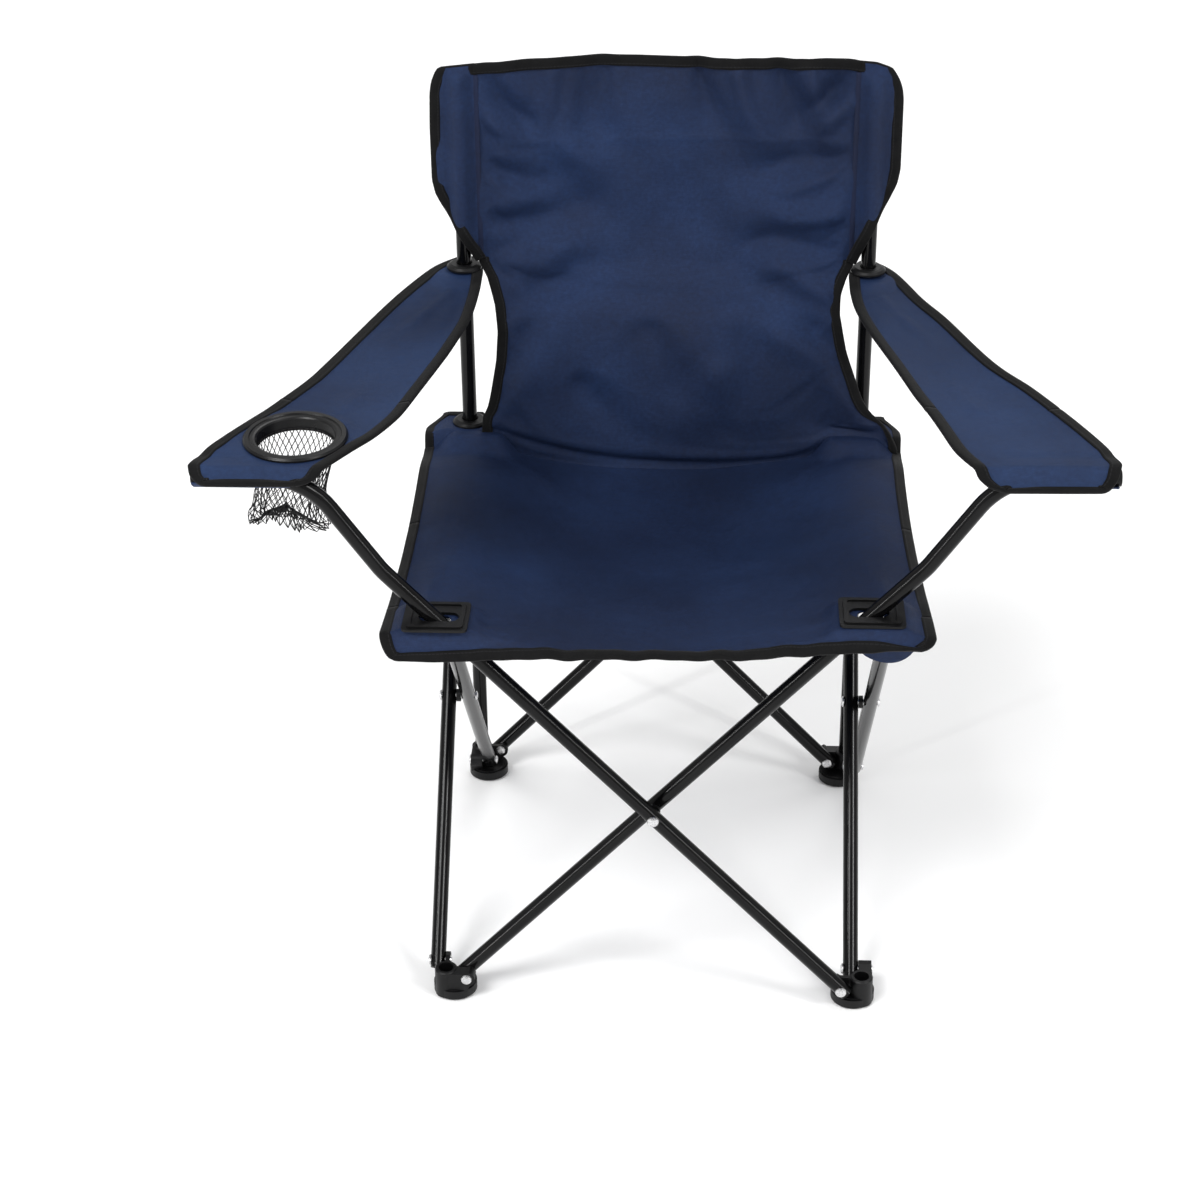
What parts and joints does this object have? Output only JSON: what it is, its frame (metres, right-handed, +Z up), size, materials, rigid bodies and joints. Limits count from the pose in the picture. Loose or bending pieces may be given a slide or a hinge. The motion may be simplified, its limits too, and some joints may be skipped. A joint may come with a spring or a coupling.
{
  "type": "folding camp chair",
  "caption": "Folding quad camp chair with crossed steel tubes, moulded feet and sliders, cloth seat and back, and cloth armrests, one with a net cup holder.",
  "frame": {"origin": "On the floor, at the middle of the bounding box, chair open.", "axes": "+Z up, -Y is the front that the sitter faces, +X is on the right as the chair's front is seen."},
  "size_m": [0.83, 0.4772, 0.832],
  "materials": {
    "black_steel": "gloss black powder coat",
    "black_plastic": "satin moulded black",
    "rivet_steel": "bright zinc",
    "navy_cloth": "coated polyester, plain weave",
    "black_net": "open mesh"
  },
  "bodies": {
    "rear_left_leg": {"rear_left_foot": "black_plastic", "rear_left_foot_rivets": "rivet_steel", "rear_left_post": "black_steel", "left_post_plug": "black_plastic", "left_arm_grommet": "black_plastic", "backrest_panel": "navy_cloth", "backrest_sleeve_left": "navy_cloth"},
    "rear_cross_left": {"rear_cross_tube_left": "black_steel", "rear_cross_rivet": "rivet_steel", "rear_cross_spacer": "black_plastic"},
    "rear_cross_right": {"rear_cross_tube_right": "black_steel"},
    "rear_right_leg": {"rear_right_foot": "black_plastic", "rear_right_foot_rivets": "rivet_steel", "rear_right_post": "black_steel", "right_post_plug": "black_plastic", "right_arm_grommet": "black_plastic", "backrest_sleeve_right": "navy_cloth"},
    "rear_right_slide": {"rear_right_slider": "black_plastic", "rear_right_slider_rivets": "rivet_steel", "rear_right_seat_grommet": "black_plastic", "rear_right_seat_tab": "navy_cloth"},
    "rear_left_slide": {"rear_left_slider": "black_plastic", "rear_left_slider_rivets": "rivet_steel", "rear_left_seat_grommet": "black_plastic", "rear_left_seat_tab": "navy_cloth"},
    "left_side_rear": {"left_side_tube_rear": "black_steel"},
    "left_side_front": {"left_side_tube_front": "black_steel", "left_side_rivet": "rivet_steel", "left_side_spacer": "black_plastic"},
    "front_left_corner": {"front_left_foot": "black_plastic", "front_left_foot_rivets": "rivet_steel"},
    "front_cross_left": {"front_cross_tube_left": "black_steel", "right_arm_tube_plug": "black_plastic"},
    "front_cross_right": {"front_cross_tube_right": "black_steel", "front_cross_rivet": "rivet_steel", "front_cross_spacer": "black_plastic", "left_arm_tube_plug": "black_plastic"},
    "front_right_corner": {"front_right_foot": "black_plastic", "front_right_foot_rivets": "rivet_steel"},
    "front_right_seat_corner": {"front_right_hub": "black_plastic", "front_right_hub_rivets": "rivet_steel", "front_right_seat_plate": "black_plastic"},
    "front_left_seat_corner": {"front_left_hub": "black_plastic", "front_left_hub_rivets": "rivet_steel", "front_left_seat_plate": "black_plastic", "seat_front_edge": "navy_cloth"},
    "right_side_front": {"right_side_tube_front": "black_steel"},
    "right_side_rear": {"right_side_tube_rear": "black_steel", "right_side_rivet": "rivet_steel", "right_side_spacer": "black_plastic"},
    "left_arm": {"left_armrest": "navy_cloth", "cup_holder_ring": "black_plastic", "cup_holder_clamp_ring": "black_plastic", "cup_holder_net": "black_net"},
    "right_arm": {"right_armrest": "navy_cloth"},
    "seat_front_half": {"seat_front_panel": "navy_cloth"},
    "seat_rear_half": {"seat_rear_panel": "navy_cloth"}
  },
  "joints": [
    {"name": "fold", "type": "hinge", "parent": "rear_left_leg", "child": "rear_cross_left", "pos_m": [-0.185, 0.206, 0.025], "axis": [0, -1, 0], "range_deg": [0, 39.5], "deforming": ["backrest_panel"]},
    {"name": "rear_cross_pivot", "type": "hinge", "parent": "rear_cross_left", "child": "rear_cross_right", "pos_m": [0, 0.206, 0.223], "axis": [0, -1, 0], "range_deg": [-79, 0]},
    {"name": "rear_right_foot_pivot", "type": "hinge", "parent": "rear_cross_right", "child": "rear_right_leg", "pos_m": [0.185, 0.206, 0.025], "axis": [0, -1, 0], "range_deg": [0, 39.5]},
    {"name": "rear_right_slider_pivot", "type": "hinge", "parent": "rear_cross_left", "child": "rear_right_slide", "pos_m": [0.185, 0.206, 0.421], "axis": [0, -1, 0], "range_deg": [-39.5, 0]},
    {"name": "rear_left_slider_pivot", "type": "hinge", "parent": "rear_cross_right", "child": "rear_left_slide", "pos_m": [-0.185, 0.206, 0.421], "axis": [0, -1, 0], "range_deg": [0, 39.5]},
    {"name": "left_side_rear_pivot", "type": "hinge", "parent": "rear_left_leg", "child": "left_side_rear", "pos_m": [-0.206, 0.185, 0.025], "axis": [1, 0, 0], "range_deg": [-39.5, 0]},
    {"name": "left_side_cross_pivot", "type": "hinge", "parent": "left_side_rear", "child": "left_side_front", "pos_m": [-0.206, 0, 0.223], "axis": [1, 0, 0], "range_deg": [0, 79]},
    {"name": "front_left_foot_pivot", "type": "hinge", "parent": "left_side_front", "child": "front_left_corner", "pos_m": [-0.206, -0.185, 0.025], "axis": [1, 0, 0], "range_deg": [-39.5, 0]},
    {"name": "front_left_hub_pivot", "type": "hinge", "parent": "left_side_rear", "child": "front_left_seat_corner", "pos_m": [-0.206, -0.185, 0.421], "axis": [1, 0, 0], "range_deg": [0, 39.5], "deforming": ["seat_front_edge"]},
    {"name": "front_left_cross_pivot", "type": "hinge", "parent": "front_left_corner", "child": "front_cross_left", "pos_m": [-0.185, -0.206, 0.025], "axis": [0, -1, 0], "range_deg": [0, 39.5]},
    {"name": "front_cross_pivot", "type": "hinge", "parent": "front_cross_left", "child": "front_cross_right", "pos_m": [0, -0.206, 0.223], "axis": [0, -1, 0], "range_deg": [-79, 0]},
    {"name": "front_right_foot_pivot", "type": "hinge", "parent": "front_cross_right", "child": "front_right_corner", "pos_m": [0.185, -0.206, 0.025], "axis": [0, -1, 0], "range_deg": [0, 39.5]},
    {"name": "front_right_hub_pivot", "type": "hinge", "parent": "front_cross_left", "child": "front_right_seat_corner", "pos_m": [0.185, -0.206, 0.421], "axis": [0, -1, 0], "range_deg": [-39.5, 0]},
    {"name": "right_side_front_pivot", "type": "hinge", "parent": "front_right_corner", "child": "right_side_front", "pos_m": [0.206, -0.185, 0.025], "axis": [1, 0, 0], "range_deg": [0, 39.5]},
    {"name": "right_side_rear_pivot", "type": "hinge", "parent": "rear_right_leg", "child": "right_side_rear", "pos_m": [0.206, 0.185, 0.025], "axis": [1, 0, 0], "range_deg": [-39.5, 0]},
    {"name": "left_arm_swing", "type": "hinge", "parent": "front_cross_right", "child": "left_arm", "pos_m": [-0.36, -0.216, 0.579], "axis": [1, 0, 0], "range_deg": [-62.25, 0], "deforming": ["left_armrest"]},
    {"name": "right_arm_swing", "type": "hinge", "parent": "front_cross_left", "child": "right_arm", "pos_m": [0.36, -0.196, 0.579], "axis": [1, 0, 0], "range_deg": [-68.89, 0], "deforming": ["right_armrest"]},
    {"name": "seat_front_swing", "type": "hinge", "parent": "front_left_seat_corner", "child": "seat_front_half", "pos_m": [0, -0.18, 0.4345], "axis": [1, 0, 0], "range_deg": [-85.07, 0], "deforming": ["seat_front_panel"]},
    {"name": "seat_rear_swing", "type": "hinge", "parent": "rear_left_slide", "child": "seat_rear_half", "pos_m": [0, 0.188, 0.4345], "axis": [1, 0, 0], "range_deg": [0, 85.07], "deforming": ["seat_rear_panel"]}
  ],
  "couplings": [
    {"joint": "rear_cross_pivot", "follows": "fold", "ratio": -2},
    {"joint": "rear_right_foot_pivot", "follows": "fold", "ratio": 1},
    {"joint": "rear_right_slider_pivot", "follows": "fold", "ratio": -1},
    {"joint": "rear_left_slider_pivot", "follows": "fold", "ratio": 1},
    {"joint": "left_side_rear_pivot", "follows": "fold", "ratio": -1},
    {"joint": "left_side_cross_pivot", "follows": "fold", "ratio": 2},
    {"joint": "front_left_foot_pivot", "follows": "fold", "ratio": -1},
    {"joint": "front_left_hub_pivot", "follows": "fold", "ratio": 1},
    {"joint": "front_left_cross_pivot", "follows": "fold", "ratio": 1},
    {"joint": "front_cross_pivot", "follows": "fold", "ratio": -2},
    {"joint": "front_right_foot_pivot", "follows": "fold", "ratio": 1},
    {"joint": "front_right_hub_pivot", "follows": "fold", "ratio": -1},
    {"joint": "right_side_front_pivot", "follows": "fold", "ratio": 1},
    {"joint": "right_side_rear_pivot", "follows": "fold", "ratio": -1},
    {"joint": "left_arm_swing", "follows": "fold", "ratio": -1.576},
    {"joint": "right_arm_swing", "follows": "fold", "ratio": -1.744},
    {"joint": "seat_front_swing", "follows": "fold", "ratio": -2.1537},
    {"joint": "seat_rear_swing", "follows": "fold", "ratio": 2.1537}
  ]
}
